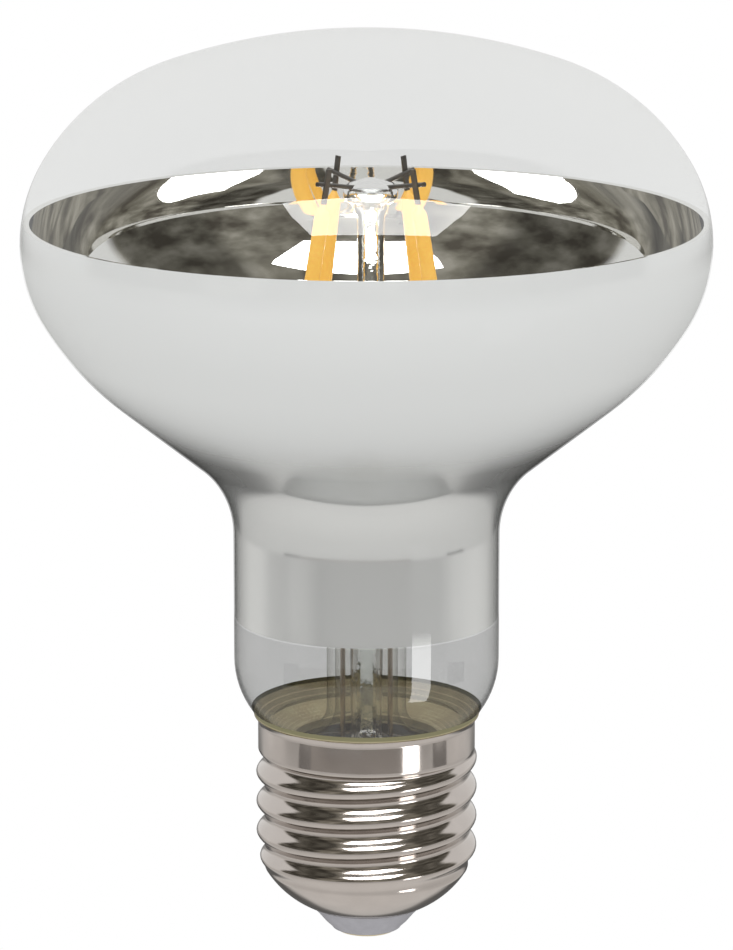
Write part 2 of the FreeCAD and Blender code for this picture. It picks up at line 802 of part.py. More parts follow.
fuse_sleeve = joined("fuse_sleeve", "Part::Cut", [fuse_jacket, fuse_core])

# The neutral wire ends inside the first valley of the thread that lies clear of the board
neutral_x = board_r - size("neutral_inset")
pitch = mm("thread_pitch")
first_valley = thread_z.number + pitch * ((360 - mm("thread_clocking_angle")) / 360 + 0.5)
clear_of_board = board_top.number + mm("wire_bend_radius") + mm("neutral_above_board")
land_z = first_valley + pitch * math.ceil((clear_of_board - first_valley) / pitch)
land_r = mm("valley_radius") - mm("shell_wall")
neutral_path = round_wire(mm("lead_radius"), [
    (neutral_x.number, 0, pins_foot.number),
    (neutral_x.number, 0, land_z),
    (crest.number, 0, land_z),
], mm("wire_bend_radius"))
room = Part.makeCylinder(land_r, skirt_z.number)
neutral_wire = shaped("neutral_wire", neutral_path.common(room))

board_blank = disc("driver_board_blank", board_r, size("board_thickness"), 0.0, 0.0, board_z)
fuse_hole = disc("fuse_hole", size("fuse_lead_radius"), size("board_thickness"), 0.0, fuse_y, board_z)
neutral_hole = disc("neutral_hole", lead_r, size("board_thickness"), neutral_x, 0.0, board_z)
lead_holes = pair_of_rods("lead_holes", lead_r, board_z, size("board_thickness"))
board_holes = joined("board_holes", "Part::MultiFuse", [fuse_hole, neutral_hole, lead_holes])
driver_board = joined("driver_board", "Part::Cut", [board_blank, board_holes])

can_r, can_len, crimp = size("capacitor_radius"), size("capacitor_length"), size("capacitor_crimp")
can_foot = board_z - can_len
groove_w = size("capacitor_groove")
smoothing_capacitor = turned("smoothing_capacitor", [
    (0.0, can_foot),
    (can_r - crimp, can_foot),
    (can_r, can_foot + crimp),
    (can_r, board_z - crimp - 2 * groove_w),
    (can_r - crimp, board_z - crimp - 1.5 * groove_w),
    (can_r, board_z - crimp - groove_w),
    (can_r, board_z - crimp),
    (can_r - crimp, board_z),
    (0.0, board_z),
], size("capacitor_side"), size("capacitor_depth"))

coil_r, coil_len, waist = size("inductor_radius"), size("inductor_length"), size("inductor_waist")
rim_t = size("inductor_flange")
coil_foot = board_z - coil_len
inductor_core = turned("inductor_core", [
    (0.0, coil_foot),
    (coil_r, coil_foot),
    (coil_r, coil_foot + rim_t),
    (coil_r - 2 * waist, coil_foot + rim_t),
    (coil_r - 2 * waist, board_z - rim_t),
    (coil_r, board_z - rim_t),
    (coil_r, board_z),
    (0.0, board_z),
], size("inductor_side"), size("inductor_depth"))
inductor_winding = turned("inductor_winding", [
    (coil_r - 2 * waist, coil_foot + rim_t),
    (coil_r - waist / 2, coil_foot + rim_t),
    (coil_r - waist / 2, board_z - rim_t),
    (coil_r - 2 * waist, board_z - rim_t),
], size("inductor_side"), size("inductor_depth"))


def package(label, prefix, depth, legs):
    """A moulded package on the board's upper face at depth, with legs along both long sides."""
    length, width, height = mm(prefix + "_length"), mm(prefix + "_width"), mm(prefix + "_height")
    leg_t = mm("leg_thickness")
    corner = Vector(-length / 2, depth - width / 2, board_top.number + leg_t)
    body = Part.makeBox(length, width, height - leg_t, corner)
    pieces = []
    for index in range(legs):
        centre = (index - (legs - 1) / 2) * mm("leg_pitch")
        for side in (-1, 1):
            inner = depth + side * (width / 2 - leg_t)
            outer = depth + side * (width / 2 + mm("leg_length"))
            low = Vector(centre - mm("leg_width") / 2, min(inner, outer), board_top.number)
            pieces.append(Part.makeBox(mm("leg_width"), abs(outer - inner), 2 * leg_t, low))
    return shaped(label, body.multiFuse(pieces))


rectifier_rim = fuse_y.number - mm("fuse_lead_radius") - mm("rectifier_fuse_gap")
rectifier_y = rectifier_rim - mm("leg_length") - mm("rectifier_width") / 2
bridge_rectifier = package("bridge_rectifier", "rectifier", rectifier_y, 2)
chip_rim = board_r.number - mm("chip_inset")
chip_y = mm("leg_length") + mm("chip_width") / 2 - chip_rim
driver_chip = package("driver_chip", "chip", chip_y, 4)
resistor_size = [size("resistor_width"), size("resistor_length"), size("resistor_height")]
resistor_left = block("chip_resistor_left", *resistor_size, 0.0 - size("resistor_side"), 0.0, board_top)
resistor_right = block("chip_resistor_right", *resistor_size, size("resistor_side"), 0.0, board_top)
chip_resistors = joined("chip_resistors", "Part::MultiFuse", [resistor_left, resistor_right])

PARTS = [
    "glass_bulb", "mirror_coating", "stem_flare", "exhaust_tube", "stem_rod", "top_wires",
    "filament_front_left", "filament_front_right", "filament_back_left", "filament_back_right",
    "upper_tabs", "lower_tabs", "lower_bars", "inner_leads", "dumet_seals", "outer_leads", "lead_sleeves",
    "screw_shell", "cap_cement", "insulator", "centre_contact", "contact_solder",
    "driver_board", "smoothing_capacitor", "inductor_core", "inductor_winding",
    "bridge_rectifier", "driver_chip", "chip_resistors", "fuse_resistor", "fuse_sleeve", "neutral_wire",
]
document.recompute()
for item in document.Objects:
    if "Invalid" in item.State or "Error" in item.State:
        raise ValueError("%s didn't build" % item.Label)
os.makedirs("parts", exist_ok=True)
for label in PARTS:
    piece = document.getObjectsByLabel(label)[0]
    if piece.Shape.isNull() or not piece.Shape.isValid() or not piece.Shape.Solids:
        raise ValueError("%s isn't a sound solid" % label)
    piece.Shape.exportStep("parts/%s.step" % label)
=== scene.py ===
import math

import bpy
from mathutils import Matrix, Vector, noise


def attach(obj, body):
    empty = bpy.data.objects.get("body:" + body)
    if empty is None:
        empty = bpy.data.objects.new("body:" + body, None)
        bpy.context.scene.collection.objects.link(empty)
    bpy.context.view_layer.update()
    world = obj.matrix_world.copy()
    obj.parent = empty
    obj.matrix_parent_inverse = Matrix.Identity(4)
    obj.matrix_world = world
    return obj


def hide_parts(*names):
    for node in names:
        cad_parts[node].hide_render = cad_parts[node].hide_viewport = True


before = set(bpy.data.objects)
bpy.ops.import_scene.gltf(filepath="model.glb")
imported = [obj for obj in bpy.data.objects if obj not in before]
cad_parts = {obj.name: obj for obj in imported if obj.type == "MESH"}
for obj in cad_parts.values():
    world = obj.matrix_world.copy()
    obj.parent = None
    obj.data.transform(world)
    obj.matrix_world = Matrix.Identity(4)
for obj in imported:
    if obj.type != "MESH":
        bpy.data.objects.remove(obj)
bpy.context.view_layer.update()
MM = 0.001

# Glass profile in millimetres, as the part's source has it
EQUATOR_R, EQUATOR_Z = 40.0, 83.2
SHOULDER_R, SHOULDER_A = 18.185, math.radians(30.78)
CROWN_EDGE_R, CROWN_EDGE_A = 25.57, math.radians(70.96)
LOWER_R, LOWER_A = 17.03, math.radians(31.06)
BOWL_R, BOWL_A = 35.17, math.radians(51.23)
CONE_LENGTH = 12.4
FILLET_R = 11.155
NECK_LENGTH = 14.99
HEEL_R, HEEL_A = 10.27, math.radians(53.0)
GLASS_WALL = 0.8
MIRROR_LAYER = 0.1
MIRROR_TOP_A = math.radians(8.79)
MIRROR_NECK = 9.94
GLASS_SEEN, SILVER_BEHIND = 0.12, 0.05
NECK_STEP = 5.0
ON_AXIS = 1e-6
TURNED_SHARP, SHELL_SHARP, STRIP_SHARP = 40.0, 60.0, 50.0

shoulder_x = EQUATOR_R - SHOULDER_R
edge_x = shoulder_x + (SHOULDER_R - CROWN_EDGE_R) * math.cos(SHOULDER_A)
edge_z = EQUATOR_Z + (SHOULDER_R - CROWN_EDGE_R) * math.sin(SHOULDER_A)
crown_r = CROWN_EDGE_R + edge_x / math.cos(CROWN_EDGE_A)
crown_z = edge_z + (CROWN_EDGE_R - crown_r) * math.sin(CROWN_EDGE_A)
lower_x = EQUATOR_R - LOWER_R
bowl_x = lower_x + (LOWER_R - BOWL_R) * math.cos(LOWER_A)
bowl_z = EQUATOR_Z - (LOWER_R - BOWL_R) * math.sin(LOWER_A)
cone_x = bowl_x - CONE_LENGTH * math.sin(BOWL_A)
cone_z = bowl_z - CONE_LENGTH * math.cos(BOWL_A)
fillet_x = cone_x + (BOWL_R + FILLET_R) * math.cos(BOWL_A)
fillet_z = cone_z - (BOWL_R + FILLET_R) * math.sin(BOWL_A)
neck_r = fillet_x - FILLET_R
mirror_end = fillet_z - MIRROR_NECK
heel_z = fillet_z - NECK_LENGTH
heel_x = neck_r - HEEL_R


def arc(centre_x, centre_z, radius, start, stop, count):
    """Points of an arc by its normal's angle above the horizon, without the last one."""
    points = []
    for step in range(count):
        angle = start + (stop - start) * step / count
        points.append((centre_x + radius * math.cos(angle), centre_z + radius * math.sin(angle)))
    return points


def crown_path(inset):
    """From the crown's top down to the widest ring."""
    right = math.pi / 2
    return (
        arc(0.0, crown_z, crown_r - inset, right, CROWN_EDGE_A, 14)
        + arc(edge_x, edge_z, CROWN_EDGE_R - inset, CROWN_EDGE_A, SHOULDER_A, 14)
        + arc(shoulder_x, EQUATOR_Z, SHOULDER_R - inset, SHOULDER_A, 0.0, 12)
    )


def bowl_path(inset):
    """From the widest ring down to the neck."""
    reach = BOWL_R - inset
    bowl_end = (bowl_x + reach * math.cos(BOWL_A), bowl_z - reach * math.sin(BOWL_A))
    cone = []
    for step in range(5):
        along = CONE_LENGTH * step / 5
        cone.append((bowl_end[0] - along * math.sin(BOWL_A), bowl_end[1] - along * math.cos(BOWL_A)))
    fillet = []
    for step in range(18):
        angle = BOWL_A * (1 - step / 18)
        bend_r = FILLET_R + inset
        fillet.append((fillet_x - bend_r * math.cos(angle), fillet_z + bend_r * math.sin(angle)))
    return (
        arc(lower_x, EQUATOR_Z, LOWER_R - inset, 0.0, -LOWER_A, 12)
        + arc(bowl_x, bowl_z, BOWL_R - inset, -LOWER_A, -BOWL_A, 10)
        + cone
        + fillet
        + [(neck_r - inset, fillet_z)]
    )


def neck_path(inset):
    """From the neck's top down to the heel's end."""
    reach = HEEL_R - inset
    return (
        [(neck_r - inset, fillet_z - NECK_STEP), (neck_r - inset, fillet_z - 2 * NECK_STEP)]
        + arc(heel_x, heel_z, reach, 0.0, -HEEL_A, 12)
        + [(heel_x + reach * math.cos(HEEL_A), heel_z - reach * math.sin(HEEL_A))]
    )


def mesh_object(name, vertices, faces, sharp=None):
    """A smooth mesh from points in millimetres, with edges over the sharp angle in degrees left sharp."""
    mesh = bpy.data.meshes.new(name)
    mesh.from_pydata([Vector(v) * MM for v in vertices], [], faces)
    mesh.validate()
    mesh.shade_smooth()
    if sharp is not None:
        mesh.set_sharp_from_angle(angle=math.radians(sharp))
    piece = bpy.data.objects.new(name, mesh)
    bpy.context.scene.collection.objects.link(piece)
    return piece


def lathe(name, outline, segments, axis=(0.0, 0.0), wobble=None):
    """A turned mesh from a closed line of (radius, height) points in millimetres.

    wobble takes an angle, a radius and a height and gives a new radius and height.
    """
    vertices = []
    rings = []
    for radius, height in outline:
        if radius < ON_AXIS:
            rings.append([len(vertices)])
            vertices.append((axis[0], axis[1], height))
            continue
        ring = []
        for step in range(segments):
            angle = 2 * math.pi * step / segments
            across, up = (radius, height) if wobble is None else wobble(angle, radius, height)
            ring.append(len(vertices))
            vertices.append((axis[0] + across * math.cos(angle), axis[1] + across * math.sin(angle), up))
        rings.append(ring)
    faces = []
    for index in range(len(rings)):
        upper, lower = rings[index], rings[(index + 1) % len(rings)]
        if len(upper) == 1 and len(lower) == 1:
            continue
        for step in range(segments):
            after = (step + 1) % segments
            if len(upper) == 1:
                faces.append((upper[0], lower[step], lower[after]))
            elif len(lower) == 1:
                faces.append((upper[step], lower[0], upper[after]))
            else:
                faces.append((upper[step], lower[step], lower[after], upper[after]))
    return mesh_object(name, vertices, faces, TURNED_SHARP)


# Node helpers
def put(tree, socket, value):
    """Links another socket to this one, or sets a plain value on it."""
    if isinstance(value, bpy.types.NodeSocket):
        tree.links.new(value, socket)
    elif socket.type == "RGBA":
        socket.default_value = (*value, 1.0)
    else:
        socket.default_value = value


def maths(tree, operation, *values, clamp=False):
    node = tree.nodes.new("ShaderNodeMath")
    node.operation = operation
    node.use_clamp = clamp
    for socket, value in zip(node.inputs, values):
        put(tree, socket, value)
    return node.outputs[0]


def vectors(tree, operation, *values, result="Vector"):
    node = tree.nodes.new("ShaderNodeVectorMath")
    node.operation = operation
    for socket, value in zip(node.inputs, values):
        put(tree, socket, value)
    return node.outputs[result]


def span(tree, value, low, high, first=0.0, last=1.0, smooth=False):
    """Goes from first to last as the value runs from low to high."""
    node = tree.nodes.new("ShaderNodeMapRange")
    if smooth:
        node.interpolation_type = "SMOOTHSTEP"
    ends = {"From Min": low, "From Max": high, "To Min": first, "To Max": last}
    for key, entry in {"Value": value, **ends}.items():
        put(tree, node.inputs[key], entry)
    return node.outputs["Result"]


def mixed(tree, factor, first, second, blend="MIX"):
    node = tree.nodes.new("ShaderNodeMix")
    node.data_type = "RGBA"
    node.blend_type = blend
    for key, entry in (("Factor", factor), ("A", first), ("B", second)):
        put(tree, node.inputs[key], entry)
    return node.outputs["Result"]


def mixed_shaders(tree, factor, first, second):
    node = tree.nodes.new("ShaderNodeMixShader")
    for socket, entry in zip(node.inputs, (factor, first, second)):
        put(tree, socket, entry)
    return node.outputs[0]


def ramp_of(tree, value, stops):
    """Colours along a value, from (position, colour) pairs."""
    node = tree.nodes.new("ShaderNodeValToRGB")
    elements = node.color_ramp.elements
    for element, (position, colour) in ((elements[0], stops[0]), (elements[1], stops[-1])):
        element.position = position
        element.color = (*colour, 1)
    for position, colour in stops[1:-1]:
        elements.new(position).color = (*colour, 1)
    put(tree, node.inputs["Fac"], value)
    return node.outputs["Color"]


def noise_of(tree, place, scale, detail):
    node = tree.nodes.new("ShaderNodeTexNoise")
    node.inputs["Scale"].default_value = scale
    node.inputs["Detail"].default_value = detail
    put(tree, node.inputs["Vector"], place)
    return node.outputs["Fac"]


def bumped(tree, relief, strength, distance):
    """A normal raised by a relief, over a distance in millimetres."""
    node = tree.nodes.new("ShaderNodeBump")
    node.inputs["Strength"].default_value = strength
    node.inputs["Distance"].default_value = distance * MM
    put(tree, node.inputs["Height"], relief)
    return node.outputs["Normal"]


def place_of(tree):
    return tree.nodes.new("ShaderNodeTexCoord").outputs["Object"]


def axes_of(tree, place):
    node = tree.nodes.new("ShaderNodeSeparateXYZ")
    put(tree, node.inputs["Vector"], place)
    return node.outputs


def level_part(tree, place):
    """The way from the lamp's axis to a place."""
    return vectors(tree, "MULTIPLY", place, (1.0, 1.0, 0.0))


def seen_from_outside(tree, place):
    """One on a face turned away from the lamp's axis and met from its front, nought elsewhere."""
    surface = tree.nodes.new("ShaderNodeNewGeometry")
    side = vectors(tree, "DOT_PRODUCT", level_part(tree, place), surface.outputs["Normal"], result="Value")
    outward = maths(tree, "GREATER_THAN", side, 0.0)
    front = maths(tree, "SUBTRACT", 1.0, surface.outputs["Backfacing"])
    return maths(tree, "MULTIPLY", outward, front)


def new_material(name):
    material = bpy.data.materials.new(name)
    material.use_nodes = True
    tree = material.node_tree
    return material, tree, tree.nodes["Principled BSDF"]


# Materials
def plain(name, colour, metallic=0.0, roughness=0.5, bump=0.0, bump_scale=800.0, vary=0.06, **more):
    """A shader whose colour and surface vary a little through noise."""
    material, tree, shader = new_material(name)
    shader.inputs["Metallic"].default_value = metallic
    shader.inputs["Roughness"].default_value = roughness
    for key, value in more.items():
        shader.inputs[key.replace("_", " ")].default_value = value
    grain = noise_of(tree, place_of(tree), scale=bump_scale, detail=4.0)
    darker = tuple(share * (1 - vary) for share in colour)
    paler = tuple(min(1, share * (1 + vary)) for share in colour)
    put(tree, shader.inputs["Base Color"], ramp_of(tree, grain, [(0.3, darker), (0.7, paler)]))
    if bump:
        put(tree, shader.inputs["Normal"], bumped(tree, grain, strength=bump, distance=0.1))
    return material


# Heights at which the glass and the mirror change their look, and how far each change reaches
MILKY_ABOVE, METALLIC_BELOW = 65.0, 60.0
# Below SHADED_BELOW the glass's silhouettes carry a painted shade, which fades in over SHADE_BLEND.
SHADED_BELOW, SHADE_BLEND = 71.0, 6.0
TINT_BLEND = 0.2
BACKED_IN, BACKED_OUT = 1.5, 0.5

# Gloss of the glass, straight on and added at grazing angles, and the roughness of glass and mirror
GLASS_GLOSS, GRAZING_GLOSS, GRAZING_POWER = 0.08, 0.6, 5.0
GLASS_BLUR, CLEAN_BLUR, METALLIC_BLUR, MILKY_BLUR = 0.012, 0.02, 0.12, 0.45


def thin_glass(name, tint, rim_tint, ripple, low_share=1.0, backed_share=1.0, painted_rim_shade=0.0):
    """A thin clear wall under a gloss.

    Light goes straight through with a tint, which is stronger at grazing angles. low_share multiplies it
    below the mirror, backed_share multiplies the gloss in front of the mirror, and painted_rim_shade darkens
    the grazing tint of the lower bowl and the neck further: a painted shade on their silhouettes.
    """
    material, tree, shader = new_material(name)
    tree.nodes.remove(shader)
    place = place_of(tree)
    height = axes_of(tree, place)["Z"]
    weight = tree.nodes.new("ShaderNodeLayerWeight")
    weight.inputs["Blend"].default_value = 0.5
    facing = weight.outputs["Facing"]
    steep = maths(tree, "POWER", facing, GRAZING_POWER)
    tinting = ramp_of(tree, facing, [(0.35, tint), (0.98, rim_tint)])
    low = span(tree, height, (mirror_end - TINT_BLEND) * MM, mirror_end * MM, low_share, 1.0)
    # Painted shade: below SHADED_BELOW, painted_rim_shade darkens the grazing tint further, which darkens
    # the silhouettes of the lower bowl and the neck.
    painted_shade_by_height = span(tree, height, (SHADED_BELOW - SHADE_BLEND) * MM, SHADED_BELOW * MM, -painted_rim_shade, 0.0)
    share = maths(tree, "MULTIPLY", maths(tree, "MULTIPLY_ADD", steep, painted_shade_by_height, 1.0), low)
    clear = tree.nodes.new("ShaderNodeBsdfTransparent")
    put(tree, clear.inputs["Color"], vectors(tree, "MULTIPLY", tinting, share))
    from_middle = maths(tree, "SUBTRACT", height, (EQUATOR_Z + mirror_end) / 2 * MM)
    half = (EQUATOR_Z - mirror_end) / 2
    edges = ((half - BACKED_IN) * MM, (half + BACKED_OUT) * MM)
    backed = span(tree, maths(tree, "ABSOLUTE", from_middle), *edges, backed_share, 1.0)
    shine = maths(tree, "MULTIPLY_ADD", steep, GRAZING_GLOSS, GLASS_GLOSS, clamp=True)
    shine = maths(tree, "MULTIPLY", shine, seen_from_outside(tree, place))
    shine = maths(tree, "MULTIPLY", shine, backed)
    gloss = tree.nodes.new("ShaderNodeBsdfGlossy")
    gloss.inputs["Roughness"].default_value = GLASS_BLUR
    waves = noise_of(tree, place, scale=60.0, detail=1.0)
    put(tree, gloss.inputs["Normal"], bumped(tree, waves, strength=ripple, distance=0.4))
    wall = mixed_shaders(tree, shine, clear.outputs[0], gloss.outputs[0])
    put(tree, tree.nodes["Material Output"].inputs["Surface"], wall)
    return material


def solid_glass(name, colour):
    material, tree, shader = new_material(name)
    shader.inputs["Base Color"].default_value = (*colour, 1)
    shader.inputs["Transmission Weight"].default_value = 1.0
    shader.inputs["IOR"].default_value = 1.5
    shader.inputs["Roughness"].default_value = 0.0
    waves = noise_of(tree, place_of(tree), scale=650.0, detail=3.0)
    put(tree, shader.inputs["Normal"], bumped(tree, waves, strength=0.5, distance=0.3))
    return material


def silvered(name, colour, back_colour, back_metal, ripple):
    """A clean mirror toward the axis; from outside milky at the bowl and more metallic below it."""
    material, tree, shader = new_material(name)
    place = place_of(tree)
    height = axes_of(tree, place)["Z"]
    outside = seen_from_outside(tree, place)
    change = (METALLIC_BELOW * MM, MILKY_ABOVE * MM)
    metal = span(tree, height, *change, back_metal, 0.0)
    blur = span(tree, height, *change, METALLIC_BLUR, MILKY_BLUR)
    put(tree, shader.inputs["Metallic"], span(tree, outside, 0.0, 1.0, 1.0, metal))
    put(tree, shader.inputs["Roughness"], span(tree, outside, 0.0, 1.0, CLEAN_BLUR, blur))
    put(tree, shader.inputs["Base Color"], mixed(tree, outside, colour, back_colour))
    waves = noise_of(tree, place, scale=45.0, detail=2.0)
    put(tree, shader.inputs["Normal"], bumped(tree, waves, strength=ripple, distance=0.5))
    return material


def olive_edge(material, colour, beyond, blend):
    """Turns a plain material to another colour beyond a radius in millimetres."""
    tree = material.node_tree
    base = tree.nodes["Principled BSDF"].inputs["Base Color"]
    inside = base.links[0].from_socket
    radius = vectors(tree, "LENGTH", level_part(tree, place_of(tree)), result="Value")
    beyond_it = span(tree, radius, (beyond - blend) * MM, beyond * MM)
    put(tree, base, mixed(tree, beyond_it, inside, colour))


# The envelope's glass; painted_rim_shade paints shade on the silhouettes of its lower bowl and neck.
BULB_GLASS = thin_glass(
    "bulb_glass", (0.936, 0.938, 0.936), (0.946, 0.948, 0.945),
    ripple=0.05, low_share=0.88, backed_share=0.03, painted_rim_shade=0.41,
)
FLARE_GLASS = thin_glass("flare_glass", (0.955, 0.955, 0.945), (0.72, 0.72, 0.70), ripple=0.15)
STEM_GLASS = solid_glass("stem_glass", (0.97, 0.985, 0.98))
MIRROR = silvered("mirror_silver", (0.93, 0.925, 0.91), (0.90, 0.905, 0.905), back_metal=0.66, ripple=0.10)
# The filaments' amber phosphor; its emission is a painted glow that stands in for light on the unlit
# filaments inside the bulb.
PHOSPHOR_WITH_PAINTED_GLOW = plain(
    "phosphor", (1.0, 0.60, 0.13), roughness=0.45, bump=0.25, bump_scale=2500.0, vary=0.08,
    Emission_Color=(1.0, 0.48, 0.06, 1.0), Emission_Strength=0.42,
)
DARK_WIRE = plain("dark_wire", (0.20, 0.19, 0.18), metallic=0.9, roughness=0.35)
COPPER = plain("copper", (0.85, 0.45, 0.27), metallic=1.0, roughness=0.25)
TINNED = plain("tinned_copper", (0.74, 0.64, 0.57), metallic=1.0, roughness=0.25)
SEAL_RED = plain("seal_red", (0.55, 0.20, 0.12), metallic=0.7, roughness=0.35)
SLEEVE = plain("woven_sleeve", (0.80, 0.79, 0.74), roughness=0.8, bump=0.5)
NICKEL = plain(
    "nickel", (0.54, 0.495, 0.465), metallic=1.0, roughness=0.11, bump=0.03, bump_scale=400.0, vary=0.03,
)
# The cap cement, its colour painted paler than its own to stand in for light that the neck and shell keep
# from it; olive beyond the lip's radius.
CEMENT_PAINTED_PALER = plain("cement", (0.95, 0.81, 0.53), roughness=0.9, bump=0.8, bump_scale=600.0, vary=0.1)
olive_edge(CEMENT_PAINTED_PALER, (0.22, 0.205, 0.11), beyond=13.35, blend=0.2)
INSULATOR = plain("insulator_grey", (0.35, 0.345, 0.375), roughness=0.42, bump=0.1)
CONTACT = plain("contact_metal", (0.72, 0.62, 0.40), metallic=1.0, roughness=0.3)
SOLDER = plain("solder", (0.62, 0.62, 0.62), metallic=1.0, roughness=0.35)
BOARD = plain("board_laminate", (0.34, 0.30, 0.17), roughness=0.45)
CAN = plain("can_sleeve", (0.06, 0.07, 0.10), roughness=0.3)
FERRITE = plain("ferrite", (0.05, 0.05, 0.05), roughness=0.7, bump=0.4)
PACKAGE = plain("moulded_package", (0.02, 0.02, 0.022), roughness=0.55)
RESISTOR = plain("resistor_body", (0.45, 0.40, 0.28), roughness=0.6)
DARK_CARD = plain("dark_card", (0.04, 0.03, 0.025), roughness=0.9)
BROWN_CARD = plain("brown_card", (0.16, 0.125, 0.10), roughness=0.9)

NODE_MATERIALS = {
    "glass_bulb": BULB_GLASS,
    "mirror_coating": MIRROR,
    "stem_flare": STEM_GLASS,
    "exhaust_tube": STEM_GLASS,
    "stem_rod": STEM_GLASS,
    "top_wires": DARK_WIRE,
    "upper_tabs": DARK_WIRE,
    "lower_tabs": DARK_WIRE,
    "lower_bars": DARK_WIRE,
    "inner_leads": DARK_WIRE,
    "filament_front_left": PHOSPHOR_WITH_PAINTED_GLOW,
    "filament_front_right": PHOSPHOR_WITH_PAINTED_GLOW,
    "filament_back_left": PHOSPHOR_WITH_PAINTED_GLOW,
    "filament_back_right": PHOSPHOR_WITH_PAINTED_GLOW,
    "dumet_seals": SEAL_RED,
    "outer_leads": TINNED,
    "neutral_wire": COPPER,
    "inductor_winding": COPPER,
    "lead_sleeves": SLEEVE,
    "fuse_sleeve": SLEEVE,
    "screw_shell": NICKEL,
    "cap_cement": CEMENT_PAINTED_PALER,
    "insulator": INSULATOR,
    "centre_contact": CONTACT,
    "contact_solder": SOLDER,
    "driver_board": BOARD,
    "smoothing_capacitor": CAN,
    "inductor_core": FERRITE,
    "bridge_rectifier": PACKAGE,
    "driver_chip": PACKAGE,
    "chip_resistors": RESISTOR,
    "fuse_resistor": RESISTOR,
}
for node_name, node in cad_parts.items():
    node.data.materials.clear()
    node.data.materials.append(NODE_MATERIALS[node_name])


def stands_for(piece, material, slot, *nodes):
    """Dresses a piece that replaces CAD nodes and rides with the lamp."""
    piece.data.materials.append(material)
    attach(piece, "root")
    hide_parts(*nodes)


# Envelope and mirror
outer = crown_path(0.0) + bowl_path(0.0) + neck_path(0.0)
inner = crown_path(GLASS_SEEN) + bowl_path(GLASS_SEEN) + neck_path(GLASS_SEEN)
envelope = lathe("envelope", outer + inner[::-1], 192)
stands_for(envelope, BULB_GLASS, "clear_glass", "glass_bulb")


def mirror_side(inset):
    rim = arc(shoulder_x, EQUATOR_Z, SHOULDER_R - inset, MIRROR_TOP_A, 0.0, 6)
    neck = [(neck_r - inset, fillet_z - NECK_STEP), (neck_r - inset, mirror_end)]
    return rim + bowl_path(inset) + neck


silver_out = mirror_side(GLASS_SEEN + SILVER_BEHIND)
silver_in = mirror_side(GLASS_WALL + MIRROR_LAYER)
reflector = lathe("reflector", silver_out + silver_in[::-1], 192)
stands_for(reflector, MIRROR, "mirror_layer", "mirror_coating")

# Screw shell with a rolled round thread
VALLEY_R, CREST_R, PITCH = 12.1, 13.1, 3.629
THREAD_START, THREAD_CLOCK = 9.3, math.radians(233.6)
THREAD_FULLNESS = 0.9
SKIRT_R, SKIRT_Z, SKIRT_MIDDLE = 12.85, 22.7, 24.5
THREAD_IN, THREAD_OUT = (7.6, 10.2), (21.7, SKIRT_Z)
LIP_Z, LIP_RISE, LIP_FLARE = 26.25, 0.6, 0.5
SHEET = 0.3
CLOSING_Z, CLOSING_R = 7.9, 11.3
CLOSING_START, CLOSING_END = math.radians(31.06), math.radians(66.09)
LEVEL_STEP = 0.22
RAGGED, RAGGED_DEPTH, RAGGED_RUN, RAGGED_ROW = (24.6, LIP_Z + 0.3), 0.10, 5.0, 3.0
closing_x = VALLEY_R - CLOSING_R * math.cos(CLOSING_START)
closing_z = CLOSING_Z + CLOSING_R * math.sin(CLOSING_START)
shell_foot = closing_z - CLOSING_R * math.sin(CLOSING_END)


def smooth_step(low, high, value):
    share = min(1.0, max(0.0, (value - low) / (high - low)))
    return share * share * (3 - 2 * share)


def shell_radius(angle, height):
    """Outer radius of the screw shell at an angle and a height."""
    base = VALLEY_R
    if height < CLOSING_Z:
        drop = closing_z - height
        base = closing_x + math.sqrt(CLOSING_R * CLOSING_R - drop * drop)
    turns = (height - THREAD_START) / PITCH - (angle - THREAD_CLOCK) / (2 * math.pi)
    swing = math.cos(2 * math.pi * turns)
    shaped = math.copysign(abs(swing) ** THREAD_FULLNESS, swing)
    ridge = (CREST_R - VALLEY_R) * (0.5 + 0.5 * shaped)
    threaded = base + ridge * smooth_step(*THREAD_IN, height)
    into_skirt = smooth_step(*THREAD_OUT, height)
    return threaded * (1 - into_skirt) + SKIRT_R * into_skirt


def thread_levels():
    levels = []
    level = shell_foot
    while level < SKIRT_Z:
        levels.append(level)
        level += LEVEL_STEP
    return levels + [SKIRT_Z]


def rim_dip(angle):
    """How far the lip's ragged edge lies lower at an angle."""
    place = Vector((math.cos(angle) * RAGGED_RUN, math.sin(angle) * RAGGED_RUN, RAGGED_ROW))
    return RAGGED_DEPTH * abs(noise.noise(place))


